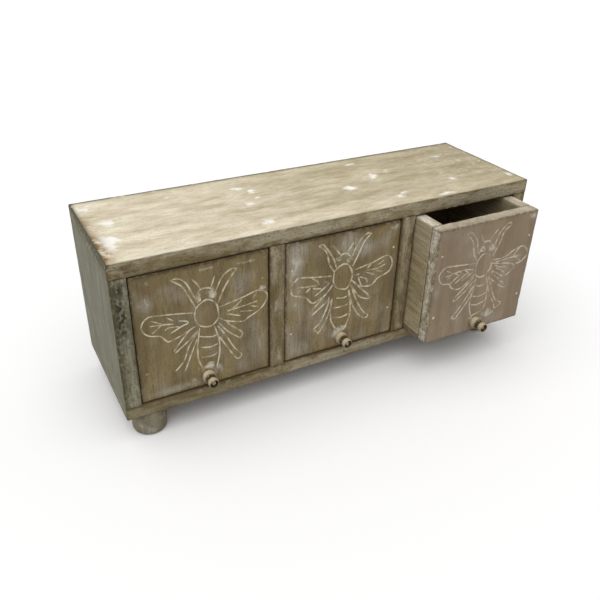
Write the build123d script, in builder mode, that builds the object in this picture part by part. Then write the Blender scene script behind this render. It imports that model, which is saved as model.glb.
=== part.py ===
from build123d import *
import os

# Tabletop chest of three drawers in whitewashed wood, on turned feet.
# X runs along the chest to the right, Y from its front to its back and Z up. The origin is on the
# surface that the feet stand on, under the middle of the chest as it rests, right drawer part open.

os.makedirs("parts", exist_ok=True)

# Carcass: a top and a base board over and under four upright walls, with the back set in between
chest_width = 350.0
chest_depth = 107.0
carcass_height = 125.0
top_thickness = 11.2
base_thickness = 10.1
wall_thickness = 12.0
back_thickness = 5.0
worn_arris = 1.1
inner_arris = 0.5

# Feet: short turned cylinders, drawn with many flats, glued and pinned from inside the carcass
foot_height = 20.5
foot_radius = 13.0
foot_flats = 48
foot_eased = 2.0
foot_from_end = 19.0
foot_from_front = 13.5

# Drawers: inset boxes that run on the base board, with a front that stands a little off it
drawer_sides = ["left", "middle", "right"]
shown_pull = {"left": 0.0, "middle": 0.0, "right": 30.0}
drawer_recess = 0.8
side_gap = 0.9
running_gap = 0.4
front_lift = 0.8
head_gap = 1.7
rear_gap = 0.5
front_thickness = 10.0
drawer_side_thickness = 10.0
drawer_back_thickness = 9.0
drawer_bottom_thickness = 4.0
front_arris = 0.8
rim_arris = 0.7

# Knobs: turned to a bulb, a groove and a bead, dished at the end for the head of the fixing screw
knob_length = 13.0
knob_above_front = 8.8
knob_base_radius = 4.4
knob_bulb_radius = 5.0
knob_bulb_from_front = 1.6
knob_shoulder_from_front = 4.4
knob_groove_radius = 3.3
knob_groove_from_front = 5.8
knob_groove_end_from_front = 8.4
knob_bead_radius = 3.9
knob_bead_from_front = 9.4
knob_lip_from_front = 11.8
knob_rim_radius = 3.5
knob_seat_radius = 2.5
knob_seat_depth = 2.8
knob_screw_radius = 1.2
knob_screw_head_radius = 1.6
knob_screw_head_height = 1.2
knob_screw_bite = 8.0
screw_slot_width = 0.7
screw_slot_depth = 0.8
screw_slot_turn = 30.0

# Pins: headless pins driven flush that hold the boards together, drawn four-sided
pin_thickness = 1.4
top_pin_length = 32.0
base_pin_length = 30.0
back_pin_length = 22.0
front_pin_length = 28.0
drawer_back_pin_length = 24.0
drawer_bottom_pin_length = 16.0
foot_pin_length = 26.0
foot_pin_spread = 5.0
top_pin_spread = 40.0
base_pin_spread = 18.0
front_pin_heights = [24.0, 79.0]
back_pin_heights = [24.0, 72.0]
back_panel_pin_heights = [15.5, 66.5]
bottom_pin_places = [13.5, 63.0]

# Levels and places that follow from the sizes above
floor_z = foot_height + base_thickness
top_z = foot_height + carcass_height
ceiling_z = top_z - top_thickness
bay_height = ceiling_z - floor_z
drawer_count = len(drawer_sides)
wall_count = drawer_count + 1
bay_width = (chest_width - wall_count * wall_thickness) / drawer_count
bay_pitch = bay_width + wall_thickness
open_reach = max(shown_pull.values()) - drawer_recess + knob_length
front_y = (open_reach - chest_depth) / 2
middle_y = front_y + chest_depth / 2
back_y = front_y + chest_depth
wall_x = [bay_pitch * (index - drawer_count / 2) for index in range(wall_count)]
foot_x = chest_width / 2 - foot_from_end
foot_y = chest_depth / 2 - foot_from_front

drawer_width = bay_width - 2 * side_gap
drawer_length = chest_depth - back_thickness - drawer_recess - rear_gap
drawer_under_z = floor_z + running_gap
drawer_rim_z = ceiling_z - head_gap
side_under_z = drawer_under_z + drawer_bottom_thickness
front_under_z = drawer_under_z + front_lift
side_length = drawer_length - front_thickness
side_height = drawer_rim_z - side_under_z

left = (-1, 0, 0)
right = (1, 0, 0)
forward = (0, -1, 0)
backward = (0, 1, 0)
up = (0, 0, 1)
down = (0, 0, -1)


def write(part, name):
    """Names a finished piece and writes it to its own file."""
    part.label = name
    export_step(part, f"parts/{name}.step")


def pin_group(heads, outward, length):
    """Makes one pin for each head, flush at that point and driven in against the outward way."""
    with BuildPart() as group:
        for head in heads:
            surface = Plane(origin=head, z_dir=outward)
            with BuildSketch(surface):
                Rectangle(pin_thickness, pin_thickness)
            extrude(amount=-length)
    return group.part


# Pins of the carcass, made first because the boards are bored by them
top_pins = pin_group(
    [(x, middle_y + y, top_z) for x in wall_x for y in (-top_pin_spread, 0, top_pin_spread)],
    up,
    top_pin_length,
)
write(top_pins, "top_pins")

base_pins = pin_group(
    [(x, middle_y + y, foot_height) for x in wall_x for y in (-base_pin_spread, base_pin_spread)],
    down,
    base_pin_length,
)
write(base_pins, "base_pins")

back_panel_pins = pin_group(
    [(x, back_y, floor_z + height) for x in wall_x[1:3] for height in back_panel_pin_heights],
    backward,
    back_pin_length,
)
write(back_panel_pins, "back_panel_pins")

foot_pins = pin_group(
    [
        (x, middle_y + y + offset, floor_z)
        for x in (-foot_x, foot_x)
        for y in (-foot_y, foot_y)
        for offset in (-foot_pin_spread, foot_pin_spread)
    ],
    up,
    foot_pin_length,
)
write(foot_pins, "foot_pins")

# Top board, with its upper edges and corners eased by wear
with BuildPart() as top_board:
    with BuildSketch(Plane((0, middle_y, ceiling_z))):
        Rectangle(chest_width, chest_depth)
    extrude(amount=top_thickness)
    upper_edges = top_board.faces().sort_by(Axis.Z)[-1].edges()
    chamfer(upper_edges + top_board.edges().filter_by(Axis.Z), worn_arris)
    add(top_pins, mode=Mode.SUBTRACT)
write(top_board.part, "top_board")

# Base board, the same shape turned over
with BuildPart() as base_board:
    with BuildSketch(Plane((0, middle_y, foot_height))):
        Rectangle(chest_width, chest_depth)
    extrude(amount=base_thickness)
    lower_edges = base_board.faces().sort_by(Axis.Z)[0].edges()
    chamfer(lower_edges + base_board.edges().filter_by(Axis.Z), worn_arris)
    add(base_pins, mode=Mode.SUBTRACT)
    add(foot_pins, mode=Mode.SUBTRACT)
write(base_board.part, "base_board")

# Two sides, full depth, with their outer corners eased to match
for name, x, outward in (("left_side", wall_x[0], Axis.X), ("right_side", wall_x[3], -Axis.X)):
    with BuildPart() as side:
        with BuildSketch(Plane((x, middle_y, floor_z))):
            Rectangle(wall_thickness, chest_depth)
        extrude(amount=bay_height)
        outer_face = side.faces().sort_by(outward)[0]
        chamfer(outer_face.edges().filter_by(Axis.Z), worn_arris)
        front_edges = side.faces().sort_by(Axis.Y)[0].edges().filter_by(Axis.Z)
        chamfer(front_edges.sort_by(outward)[-1], inner_arris)
        add(top_pins, mode=Mode.SUBTRACT)
        add(base_pins, mode=Mode.SUBTRACT)
    write(side.part, name)

# Two dividers, from the front to the back panel
for name, x in (("left_divider", wall_x[1]), ("right_divider", wall_x[2])):
    divider_depth = chest_depth - back_thickness
    with BuildPart() as divider:
        with BuildSketch(Plane((x, front_y + divider_depth / 2, floor_z))):
            Rectangle(wall_thickness, divider_depth)
        extrude(amount=bay_height)
        chamfer(divider.faces().sort_by(Axis.Y)[0].edges().filter_by(Axis.Z), inner_arris)
        for pins in (top_pins, base_pins, back_panel_pins):
            add(pins, mode=Mode.SUBTRACT)
    write(divider.part, name)

# Back panel, set in flush between the sides, the top and the base
with BuildPart() as back_panel:
    with BuildSketch(Plane((0, back_y - back_thickness, floor_z + bay_height / 2), right, backward)):
        Rectangle(chest_width - 2 * wall_thickness, bay_height)
    extrude(amount=back_thickness)
    add(back_panel_pins, mode=Mode.SUBTRACT)
write(back_panel.part, "back_panel")

# Four turned feet
for end, x in (("left", -foot_x), ("right", foot_x)):
    for row, y in (("front", middle_y - foot_y), ("back", middle_y + foot_y)):
        with BuildPart() as foot:
            with BuildSketch(Plane((x, y, 0))):
                RegularPolygon(foot_radius, foot_flats)
            extrude(amount=foot_height)
            chamfer(foot.faces().sort_by(Axis.Z)[0].edges(), foot_eased)
            add(foot_pins, mode=Mode.SUBTRACT)
        write(foot.part, f"{row}_{end}_foot")


def build_knob(side, x, face_y):
    """Turns a knob and its slotted screw, and gives back the screw without its slot."""
    knob_z = front_under_z + knob_above_front
    seat = knob_length - knob_seat_depth
    screw_top = seat + knob_screw_head_height
    turning = Plane((x, face_y, knob_z), right, down)
    centre = Axis((x, face_y, knob_z), forward)

    with BuildPart() as screw:
        with BuildSketch(turning):
            with BuildLine():
                Polyline(
                    (0, -knob_screw_bite),
                    (knob_screw_radius, -knob_screw_bite),
                    (knob_screw_radius, seat),
                    (knob_screw_head_radius, seat),
                    (knob_screw_head_radius, screw_top),
                    (0, screw_top),
                    close=True,
                )
            make_face()
        revolve(axis=centre)
    bore = screw.part

    with BuildPart() as slotted_screw:
        add(bore)
        with BuildSketch(Plane((x, face_y - screw_top, knob_z), right, forward)):
            Rectangle(2 * knob_screw_head_radius, screw_slot_width, rotation=screw_slot_turn)
        extrude(amount=-screw_slot_depth, mode=Mode.SUBTRACT)
    write(slotted_screw.part, f"{side}_drawer_knob_screw")

    with BuildPart() as knob:
        with BuildSketch(turning):
            with BuildLine():
                Polyline(
                    (0, 0),
                    (knob_base_radius, 0),
                    (knob_bulb_radius, knob_bulb_from_front),
                    (knob_bulb_radius, knob_shoulder_from_front),
                    (knob_groove_radius, knob_groove_from_front),
                    (knob_groove_radius, knob_groove_end_from_front),
                    (knob_bead_radius, knob_bead_from_front),
                    (knob_bead_radius, knob_lip_from_front),
                    (knob_rim_radius, knob_length),
                    (knob_seat_radius, seat),
                    (0, seat),
                    close=True,
                )
            make_face()
        revolve(axis=centre)
        add(bore, mode=Mode.SUBTRACT)
    write(knob.part, f"{side}_drawer_knob")
    return bore


def build_drawer(side, x, pull):
    """Builds one drawer box, pulled out by the given way, with its knob and pins."""
    face_y = front_y + drawer_recess - pull
    joint_y = face_y + front_thickness
    rear_y = face_y + drawer_length
    half_width = drawer_width / 2
    name = f"{side}_drawer"

    screw_bore = build_knob(side, x, face_y)
    side_middle = half_width - drawer_side_thickness / 2
    back_middle_y = rear_y - drawer_back_thickness / 2
    front_pins = pin_group(
        [
            (x + offset, face_y, front_under_z + height)
            for offset in (-side_middle, side_middle)
            for height in front_pin_heights
        ],
        forward,
        front_pin_length,
    )
    write(front_pins, f"{name}_front_pins")

    back_pins = Compound(
        [
            pin_group(
                [(x + offset, back_middle_y, side_under_z + height) for height in back_pin_heights],
                outward,
                drawer_back_pin_length,
            )
            for offset, outward in ((-half_width, left), (half_width, right))
        ]
    )
    write(back_pins, f"{name}_back_pins")

    bottom_pins = pin_group(
        [
            (x + offset, joint_y + place, drawer_under_z)
            for offset in (-side_middle, side_middle)
            for place in bottom_pin_places
        ]
        + [(x, back_middle_y, drawer_under_z)],
        down,
        drawer_bottom_pin_length,
    )
    write(bottom_pins, f"{name}_bottom_pins")

    # The front covers the ends of both sides
    with BuildPart() as front:
        front_middle_z = (front_under_z + drawer_rim_z) / 2
        with BuildSketch(Plane((x, face_y, front_middle_z), right, forward)):
            Rectangle(drawer_width, drawer_rim_z - front_under_z)
        extrude(amount=-front_thickness)
        fillet(front.faces().sort_by(Axis.Y)[0].edges(), front_arris)
        add(front_pins, mode=Mode.SUBTRACT)
        add(screw_bore, mode=Mode.SUBTRACT)
    write(front.part, f"{name}_front")

    for hand, offset in (("left", -side_middle), ("right", side_middle)):
        with BuildPart() as wall:
            with BuildSketch(Plane((x + offset, joint_y + side_length / 2, side_under_z))):
                Rectangle(drawer_side_thickness, side_length)
            extrude(amount=side_height)
            chamfer(wall.faces().sort_by(Axis.Z)[-1].edges().filter_by(Axis.Y), rim_arris)
            for pins in (front_pins, back_pins, bottom_pins):
                add(pins, mode=Mode.SUBTRACT)
        write(wall.part, f"{name}_{hand}_side")

    # The back stands between the sides, on the bottom panel
    with BuildPart() as back:
        with BuildSketch(Plane((x, back_middle_y, side_under_z))):
            Rectangle(drawer_width - 2 * drawer_side_thickness, drawer_back_thickness)
        extrude(amount=side_height)
        chamfer(back.faces().sort_by(Axis.Z)[-1].edges().filter_by(Axis.X), rim_arris)
        for pins in (back_pins, bottom_pins):
            add(pins, mode=Mode.SUBTRACT)
    write(back.part, f"{name}_back")

    # The bottom panel is pinned up under the sides and the back
    with BuildPart() as bottom:
        with BuildSketch(Plane((x, joint_y + side_length / 2, drawer_under_z))):
            Rectangle(drawer_width, side_length)
        extrude(amount=drawer_bottom_thickness)
        add(bottom_pins, mode=Mode.SUBTRACT)
    write(bottom.part, f"{name}_bottom")


for index, drawer_side in enumerate(drawer_sides):
    build_drawer(drawer_side, bay_pitch * (index - 1), shown_pull[drawer_side])
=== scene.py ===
import math
import random

import bpy
import numpy as np
from mathutils import Matrix, Vector, noise


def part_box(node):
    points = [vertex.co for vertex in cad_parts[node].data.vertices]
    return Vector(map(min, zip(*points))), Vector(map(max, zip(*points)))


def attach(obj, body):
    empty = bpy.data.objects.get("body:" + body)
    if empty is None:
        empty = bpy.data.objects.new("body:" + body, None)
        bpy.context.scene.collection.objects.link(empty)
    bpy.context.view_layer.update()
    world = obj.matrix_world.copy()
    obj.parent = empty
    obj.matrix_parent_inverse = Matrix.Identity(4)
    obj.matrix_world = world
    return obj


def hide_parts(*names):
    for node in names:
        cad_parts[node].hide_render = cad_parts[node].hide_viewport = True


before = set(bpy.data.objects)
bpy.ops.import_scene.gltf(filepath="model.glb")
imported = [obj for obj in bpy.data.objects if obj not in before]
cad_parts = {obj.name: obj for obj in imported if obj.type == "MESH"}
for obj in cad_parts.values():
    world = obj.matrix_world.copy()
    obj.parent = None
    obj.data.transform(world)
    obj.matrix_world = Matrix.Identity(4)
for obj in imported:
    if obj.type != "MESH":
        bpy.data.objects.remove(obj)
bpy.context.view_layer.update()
mm = 0.001
sharpAngle = 40  # degrees: corners sharper than this stay crisp
drawerNames = ["left", "middle", "right"]
# the stain and arris marks also paint shade in gaps and along edges, and a chalk mark paints a highlight
paintKeys = ("wash", "chalkAndHighlight", "stainAndShade", "arris")  # what is painted on the pieces, point by point


# Small helpers

def linear(hexColour):
    shares = [int(hexColour[i:i + 2], 16) / 255 for i in (1, 3, 5)]
    return [s / 12.92 if s <= 0.04045 else ((s + 0.055) / 1.055) ** 2.4 for s in shares] + [1.0]


def addNode(tree, kind, values={}, links={}, **settings):
    node = tree.nodes.new("ShaderNode" + kind)
    for key, value in settings.items():
        setattr(node, key, value)
    for socket, value in values.items():
        node.inputs[socket].default_value = value
    for socket, source in links.items():
        tree.links.new(source, node.inputs[socket])
    return node


def newMaterial(name):
    material = bpy.data.materials.new(name)
    material.use_nodes = True
    material.node_tree.nodes.clear()
    return material, material.node_tree


def throughPoints(points, steps):
    # a smooth line that passes through every point given
    line = []
    for i in range(len(points) - 1):
        before, start, end, after = (Vector(points[min(max(k, 0), len(points) - 1)])
                                     for k in range(i - 1, i + 3))
        for s in range(steps):
            t = s / steps
            line.append(0.5 * (2 * start + (end - before) * t
                               + (2 * before - 5 * start + 4 * end - after) * t ** 2
                               + (3 * start - before - 3 * end + after) * t ** 3))
    return line + [Vector(points[-1])]


def newPiece(name, points, faces, materials):
    mesh = bpy.data.meshes.new(name)
    mesh.from_pydata([tuple(p) for p in points], [], faces)
    for material in materials:
        mesh.materials.append(material)
    mesh.shade_smooth()
    mesh.set_sharp_from_angle(angle=math.radians(sharpAngle))
    piece = bpy.data.objects.new(name, mesh)
    bpy.context.scene.collection.objects.link(piece)
    return piece


def standFor(piece, node, body):
    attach(piece, body)
    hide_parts(node)


# Materials

# Patterns, from band to blotch, are (length along the grain, width across it, detail), in mm, and drift is
# (length, sway, detail). Real fibres and pores are a few tenths of a millimetre wide: their streaks and pits
# are drawn about four times as coarse, so that they show. Layers, from fibre to arris, are (pattern value
# where the layer begins, value where it is full, most cover, colour). rubbed is (streak value where the wash
# begins to rub off, value where it ends, share of the wash left there).
mangoLook = {
    "drift": (70, 7, 1), "band": (150, 14, 2), "streak": (26, 1.3, 4), "pit": (6, 0.8, 1),
    "smear": (24, 12, 4), "cloud": (28, 15, 5), "speck": (1.8, 1.1, 2), "blotch": (5, 3.4, 4),
    "tones": ("#7E7052", "#978A6C"), "bandSpan": (0.36, 0.64), "rubbed": (0.4, 0.66, 0.45),
    "fibre": (0.48, 0.72, 0.5, "#5F5238"), "pore": (0.6, 0.7, 0.45, "#4B3F2A"),
    "mark": (0.48, 0.66, 0.6, "#8F8B7A"), "wash": (0.5, 0.78, 0.7, "#B5AF9E"),
    "grit": (0.56, 0.72, 0.4, "#57492F"), "chalkAndHighlight": (0.84, 1.04, 0.9, "#D3CEBF"),
    "stainAndShade": (0.4, 0.56, 1.1, "#332C1C"), "arris": (0.3, 0.54, 0.75, "#5E4E2E"),
    "rough": 0.62, "roughSwing": 0.25, "ior": 1.5, "gloss": 0.3, "bump": 0.5, "relief": 0.25,
    "poreDepth": 0.8,
}


def limewashedWood(name, changes):
    # open-grained wood under a thin chalky wash: streaks along the fibres, dark pores, grey handling marks,
    # pale clouds of wash rubbed off the high fibres, dirt flecks in the wash, chalk patches and a painted
    # highlight, then stains and painted shade lines, and worn arrises, some darkened as painted shade
    look = {**mangoLook, **changes}
    material, tree = newMaterial(name)
    place = addNode(tree, "Attribute", attribute_name="grainPlace").outputs["Vector"]
    painted = {key: addNode(tree, "Attribute", attribute_name=key).outputs["Fac"] for key in paintKeys}

    # fibres wander slowly to either side
    length, sway, detail = look["drift"]
    drift = addNode(tree, "TexNoise", {"Scale": 1 / length, "Detail": detail}, {"Vector": place})
    bent = addNode(tree, "VectorMath", {1: (0, sway, sway)}, {0: drift.outputs["Color"], 2: place},
                   operation="MULTIPLY_ADD").outputs[0]
    pattern = {}
    for key in ("band", "streak", "pit", "smear", "cloud", "speck", "blotch"):
        length, width, detail = look[key]
        stretched = addNode(tree, "VectorMath", {1: (1 / length, 1 / width, 1 / width)}, {0: bent},
                            operation="MULTIPLY").outputs[0]
        pattern[key] = addNode(tree, "TexNoise", {"Scale": 1.0, "Detail": detail},
                               {"Vector": stretched}).outputs["Fac"]

    start, end = look["bandSpan"]
    broad = addNode(tree, "MapRange", {1: start, 2: end}, {0: pattern["band"]}).outputs[0]
    shade, light = look["tones"]
    tone = addNode(tree, "Mix", {6: linear(shade), 7: linear(light)}, {0: broad}, data_type="RGBA").outputs[2]
    start, end, left = look["rubbed"]
    rubbed = addNode(tree, "MapRange", {1: start, 2: end, 3: 1.0, 4: left}, {0: pattern["streak"]}).outputs[0]
    heldTo = {"wash": rubbed, "stainAndShade": painted["stainAndShade"], "arris": painted["arris"]}
    cover = {}
    for layer, source in (("fibre", "streak"), ("pore", "pit"), ("mark", "smear"), ("wash", "cloud"),
                          ("grit", "speck"), ("chalkAndHighlight", "blotch"), ("stainAndShade", "blotch"), ("arris", "blotch")):
        start, end, most, colour = look[layer]
        field = pattern[source]
        if layer in ("wash", "chalkAndHighlight"):  # patches painted on the mesh thicken these two
            field = addNode(tree, "Math", {}, {0: field, 1: painted[layer]}, operation="ADD").outputs[0]
        cover[layer] = addNode(tree, "MapRange", {1: start, 2: end, 4: most}, {0: field},
                               interpolation_type="SMOOTHSTEP").outputs[0]
        if layer in heldTo:
            cover[layer] = addNode(tree, "Math", {}, {0: cover[layer], 1: heldTo[layer]},
                                   operation="MULTIPLY").outputs[0]
        tone = addNode(tree, "Mix", {7: linear(colour)}, {0: cover[layer], 6: tone},
                       data_type="RGBA").outputs[2]

    rough = addNode(tree, "Math", {1: look["roughSwing"], 2: look["rough"]}, {0: pattern["streak"]},
                    operation="MULTIPLY_ADD").outputs[0]
    hollow = addNode(tree, "Math", {1: -look["poreDepth"]}, {0: cover["pore"], 2: pattern["streak"]},
                     operation="MULTIPLY_ADD").outputs[0]
    height = addNode(tree, "Math", {}, {0: hollow, 1: cover["wash"]}, operation="ADD").outputs[0]
    bump = addNode(tree, "Bump", {"Strength": look["bump"], "Distance": look["relief"] * mm},
                   {"Height": height})
    shader = addNode(tree, "BsdfPrincipled", {"IOR": look["ior"], "Specular IOR Level": look["gloss"]},
                     {"Base Color": tone, "Roughness": rough, "Normal": bump.outputs[0]})
    addNode(tree, "OutputMaterial", {}, {"Surface": shader.outputs[0]})
    return material


# Sawn front edges of the boards: olive brown, the wash worn to grey patches; its stain and arris colours also
# paint shadow lines on the top's front edge, the right divider and the base
edgeWood = limewashedWood("mango_sawn_edge_worn", {
    "band": (60, 9, 3), "smear": (16, 6, 4), "cloud": (15, 7, 5), "tones": ("#7A6B4A", "#978866"),
    "mark": (0.46, 0.6, 0.75, "#938A6E"), "wash": (0.47, 0.7, 0.85, "#B7AD94"),
    "grit": (0.54, 0.7, 0.6, "#50432A"), "stainAndShade": (0.38, 0.54, 1.1, "#2C281B"),
})
# the left end weathered greyer, with bark left on its front edge
greyEdgeWood = limewashedWood("mango_sawn_edge_grey", {
    "band": (60, 9, 3), "smear": (16, 6, 4), "cloud": (15, 7, 5), "speck": (2.2, 1.6, 3),
    "blotch": (3.4, 2.2, 5), "tones": ("#6F6B55", "#8B866E"), "mark": (0.46, 0.6, 0.7, "#86836C"),
    "wash": (0.47, 0.72, 0.8, "#B3AF9B"), "grit": (0.54, 0.68, 0.6, "#4D4835"),
    "chalkAndHighlight": (0.7, 0.96, 0.9, "#C4C1B2"), "stainAndShade": (0.36, 0.56, 1.05, "#2F2C1F"),
    "arris": (0.3, 0.54, 0.75, "#514A32"),
})
# Planed top: the thickest wash, sanded back along the grain to a bright dry cream
topWood = limewashedWood("mango_planed_limewashed", {
    "drift": (110, 5, 1), "streak": (8, 2.0, 5), "smear": (26, 9, 4), "cloud": (24, 8, 6),
    "speck": (2.2, 1.3, 3), "blotch": (6, 5, 4), "tones": ("#AB9E80", "#BEB192"),
    "rubbed": (0.4, 0.66, 0.8), "fibre": (0.5, 0.72, 0.6, "#94855F"), "pore": (0.58, 0.72, 0.2, "#84754F"),
    "mark": (0.5, 0.66, 0.65, "#A08E6A"), "wash": (0.14, 1.15, 0.95, "#F9EFD8"),
    "grit": (0.54, 0.7, 0.34, "#9C8B64"), "chalkAndHighlight": (0.62, 1.08, 0.9, "#FFFDF5"),
    "stainAndShade": (0.28, 0.56, 0.88, "#876534"), "arris": (0.24, 0.46, 0.9, "#4E4A38"),
})
# Outer faces of the sides: the wash greyed to stone by handling
sideWood = limewashedWood("mango_sawn_limewashed_grey", {
    "band": (90, 11, 3), "streak": (30, 1.8, 4), "tones": ("#747362", "#878672"),
    "fibre": (0.46, 0.7, 0.42, "#5C5B4C"), "pore": (0.6, 0.7, 0.4, "#4C4C41"),
    "mark": (0.5, 0.7, 0.4, "#8D8973"), "wash": (0.5, 0.78, 0.6, "#A7A491"),
    "grit": (0.56, 0.72, 0.35, "#5A594C"), "arris": (0.36, 0.58, 0.6, "#7B7558"),
})
# Drawer fronts: brushed along upright grain, brown under a thin grey haze of wash
frontLook = {
    "band": (90, 11, 3), "cloud": (26, 20, 5), "tones": ("#7B6C4C", "#95835C"),
    "fibre": (0.5, 0.74, 0.45, "#5F5032"), "pore": (0.6, 0.7, 0.35, "#4F4128"),
    "mark": (0.49, 0.68, 0.55, "#796E58"), "wash": (0.47, 0.88, 0.75, "#BAB3A5"),
    "grit": (0.55, 0.71, 0.45, "#5B4C33"), "chalkAndHighlight": (0.66, 1.1, 0.85, "#D5CFBF"),
    "arris": (0.3, 0.56, 0.75, "#5C4A2A"),
}
brownFrontWood = limewashedWood("mango_brushed_brown", frontLook)
# the right front was cut from a redder board and has an even, rubbed face
roseFrontWood = limewashedWood("mango_brushed_rose", {
    **frontLook, "tones": ("#917F69", "#A3907A"), "fibre": (0.5, 0.74, 0.25, "#7D6A55"),
    "pore": (0.6, 0.7, 0.2, "#6A5845"), "mark": (0.5, 0.72, 0.25, "#95836E"),
    "grit": (0.56, 0.72, 0.2, "#75644F"), "arris": (0.4, 0.58, 0.6, "#5C4A36"),
})
# Rims of fronts and boxes: wash rubbed smooth by hands, pale with a few dirty streaks; the stain colour also
# paints the shade in the gaps above the closed drawers
rimWood = limewashedWood("mango_rim_rubbed", {
    "smear": (14, 6, 4), "cloud": (20, 5, 4), "speck": (2.4, 1.2, 2), "tones": ("#A99E86", "#C2B7A0"),
    "fibre": (0.5, 0.74, 0.35, "#857960"), "mark": (0.48, 0.66, 0.55, "#8F846D"),
    "wash": (0.4, 0.76, 0.85, "#E6DFCF"), "grit": (0.54, 0.68, 0.45, "#7C7058"),
    "stainAndShade": (0.1, 0.34, 0.9, "#43361F"), "arris": (0.34, 0.58, 0.6, "#6B5F49"),
})
# Cut edges of fronts: end fibres that drank the wash, chalky and peppered with dirt; the stain colour also
# paints the shade in the gaps beside the closed drawers
cutEdgeWood = limewashedWood("mango_cut_edge_chalked", {
    "smear": (12, 7, 4), "cloud": (9, 7, 4), "speck": (1.6, 1.3, 2), "tones": ("#ADA189", "#CABFA8"),
    "fibre": (0.5, 0.74, 0.4, "#7E725B"), "mark": (0.47, 0.62, 0.6, "#8A806C"),
    "wash": (0.45, 0.62, 0.9, "#EEE8DA"), "grit": (0.52, 0.64, 0.75, "#73674F"),
    "stainAndShade": (0.1, 0.34, 0.9, "#43361F"), "arris": (0.34, 0.56, 0.8, "#665A42"),
})
# Outer faces of the drawer boxes: sawn, dry, with long open fibres
boxWood = limewashedWood("mango_sawn_dry", {
    "streak": (48, 1.5, 4), "tones": ("#978867", "#BDAF8D"), "fibre": (0.46, 0.66, 0.6, "#6A5B3A"),
    "wash": (0.54, 0.86, 0.6, "#BDB49B"), "mark": (0.52, 0.72, 0.3, "#8D8468"),
    "arris": (0.36, 0.56, 0.8, "#B9AF97"), "bump": 0.7,
})
# Faces that were never washed: insides of boxes and bays, plain dull brown
bareWood = limewashedWood("mango_sawn_bare", {
    "tones": ("#6A5940", "#806D50"), "wash": (0.6, 0.9, 0.25, "#A3977D"),
    "mark": (0.52, 0.72, 0.3, "#5B4B34"),
})
# Thin sawn panels under the drawers and at the back: even dull tan with little wash
panelWood = limewashedWood("mango_thin_sawn_panel", {
    "band": (300, 30, 2), "tones": ("#8A7E63", "#A39779"), "wash": (0.54, 0.86, 0.4, "#BDB6A2"),
})
# Turned feet: washed thinly, grey with floor dirt below
footWood = limewashedWood("mango_turned_limewashed", {
    "streak": (16, 2.2, 4), "smear": (9, 8, 4), "cloud": (12, 10, 4), "speck": (2.4, 2.0, 3),
    "tones": ("#7D7662", "#938C77"), "fibre": (0.5, 0.74, 0.3, "#655C46"),
    "pore": (0.6, 0.7, 0.2, "#4F4631"), "mark": (0.46, 0.62, 0.5, "#7B735C"),
    "wash": (0.46, 0.74, 0.75, "#BAB8AA"),
})
# Turned knobs: close pale wood, rubbed bright by fingers; the stain colour darkens the hollows as dirt and
# painted shade, and the lower right of the flanks as painted shade
knobWood = limewashedWood("mango_turned_rubbed", {
    "drift": (12, 1.5, 1), "band": (30, 5, 2), "streak": (14, 0.9, 2), "pit": (4, 0.6, 1),
    "smear": (9, 7, 3), "cloud": (10, 7, 3), "speck": (1.2, 0.9, 2), "blotch": (1.6, 1.2, 2),
    "tones": ("#BBAC8A", "#D1C4A4"), "fibre": (0.48, 0.72, 0.4, "#98855F"),
    "pore": (0.6, 0.7, 0.25, "#7A6846"), "mark": (0.5, 0.7, 0.3, "#A0916F"),
    "wash": (0.46, 0.8, 0.7, "#EAE4D4"), "grit": (0.56, 0.72, 0.3, "#86755A"),
    "stainAndShade": (0.22, 0.44, 1.0, "#41321B"), "relief": 0.12,
})


def mottledCoat(name, look, coat, under):
    # a coat with a little tooth, thin in patches where what lies under it shows; thin and rough are (mottle
    # value where it begins, value where it ends, amounts there); the default IOR, 1.5, suits chalk and filler
    material, tree = newMaterial(name)
    if look["onGrain"]:
        place = addNode(tree, "Attribute", attribute_name="grainPlace").outputs["Vector"]  # in mm
    else:
        place = addNode(tree, "TexCoord").outputs["Object"]  # in metres
    mottle = addNode(tree, "TexNoise", {"Scale": 1 / look["patch"], "Detail": look["detail"]},
                     {"Vector": place}).outputs["Fac"]
    thin, rough = (addNode(tree, "MapRange", dict(enumerate(look[key], 1)), {0: mottle}).outputs[0]
                   for key in ("thin", "rough"))
    tone = addNode(tree, "Mix", {6: linear(coat), 7: linear(under)}, {0: thin}, data_type="RGBA").outputs[2]
    bump = addNode(tree, "Bump", {"Strength": look["bump"], "Distance": look["relief"] * mm},
                   {"Height": mottle})
    shader = addNode(tree, "BsdfPrincipled", {"Metallic": look["metal"], "Specular IOR Level": look["gloss"]},
                     {"Base Color": tone, "Roughness": rough, "Normal": bump.outputs[0]})
    addNode(tree, "OutputMaterial", {}, {"Surface": shader.outputs[0]})
    return material


# Chalk wash lying in the carved lines: dead matt cream, thin in places so the wood greys it
limeLook = {"onGrain": True, "patch": 5, "detail": 3, "thin": (0.42, 0.62, 0, 0.9), "rough": (0, 1, 0.9, 0.9),
            "metal": 0, "gloss": 0.2, "bump": 0.4, "relief": 0.1}
brownFrontLime = mottledCoat("limewash_in_carved_brown_wood", limeLook, "#E3D9C0", "#A39577")
roseFrontLime = mottledCoat("limewash_in_carved_rose_wood", limeLook, "#DACEB9", "#A99B85")
# Steel pins driven under and stopped with filler: small matt dots, greyed where the steel shows
stoppingLook = {"onGrain": False, "patch": 0.9 * mm, "detail": 2, "thin": (0.5, 0.66, 0, 0.6),
                "rough": (0, 1, 0.85, 0.85), "metal": 0, "gloss": 0.25, "bump": 0.5, "relief": 0.1}
chalkStopping = mottledCoat("chalk_stopping_over_steel_pin", stoppingLook, "#E6E0D1", "#9C9686")
brownStopping = mottledCoat("wood_stopping_over_steel_pin", stoppingLook, "#A2957C", "#7A6C55")
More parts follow.
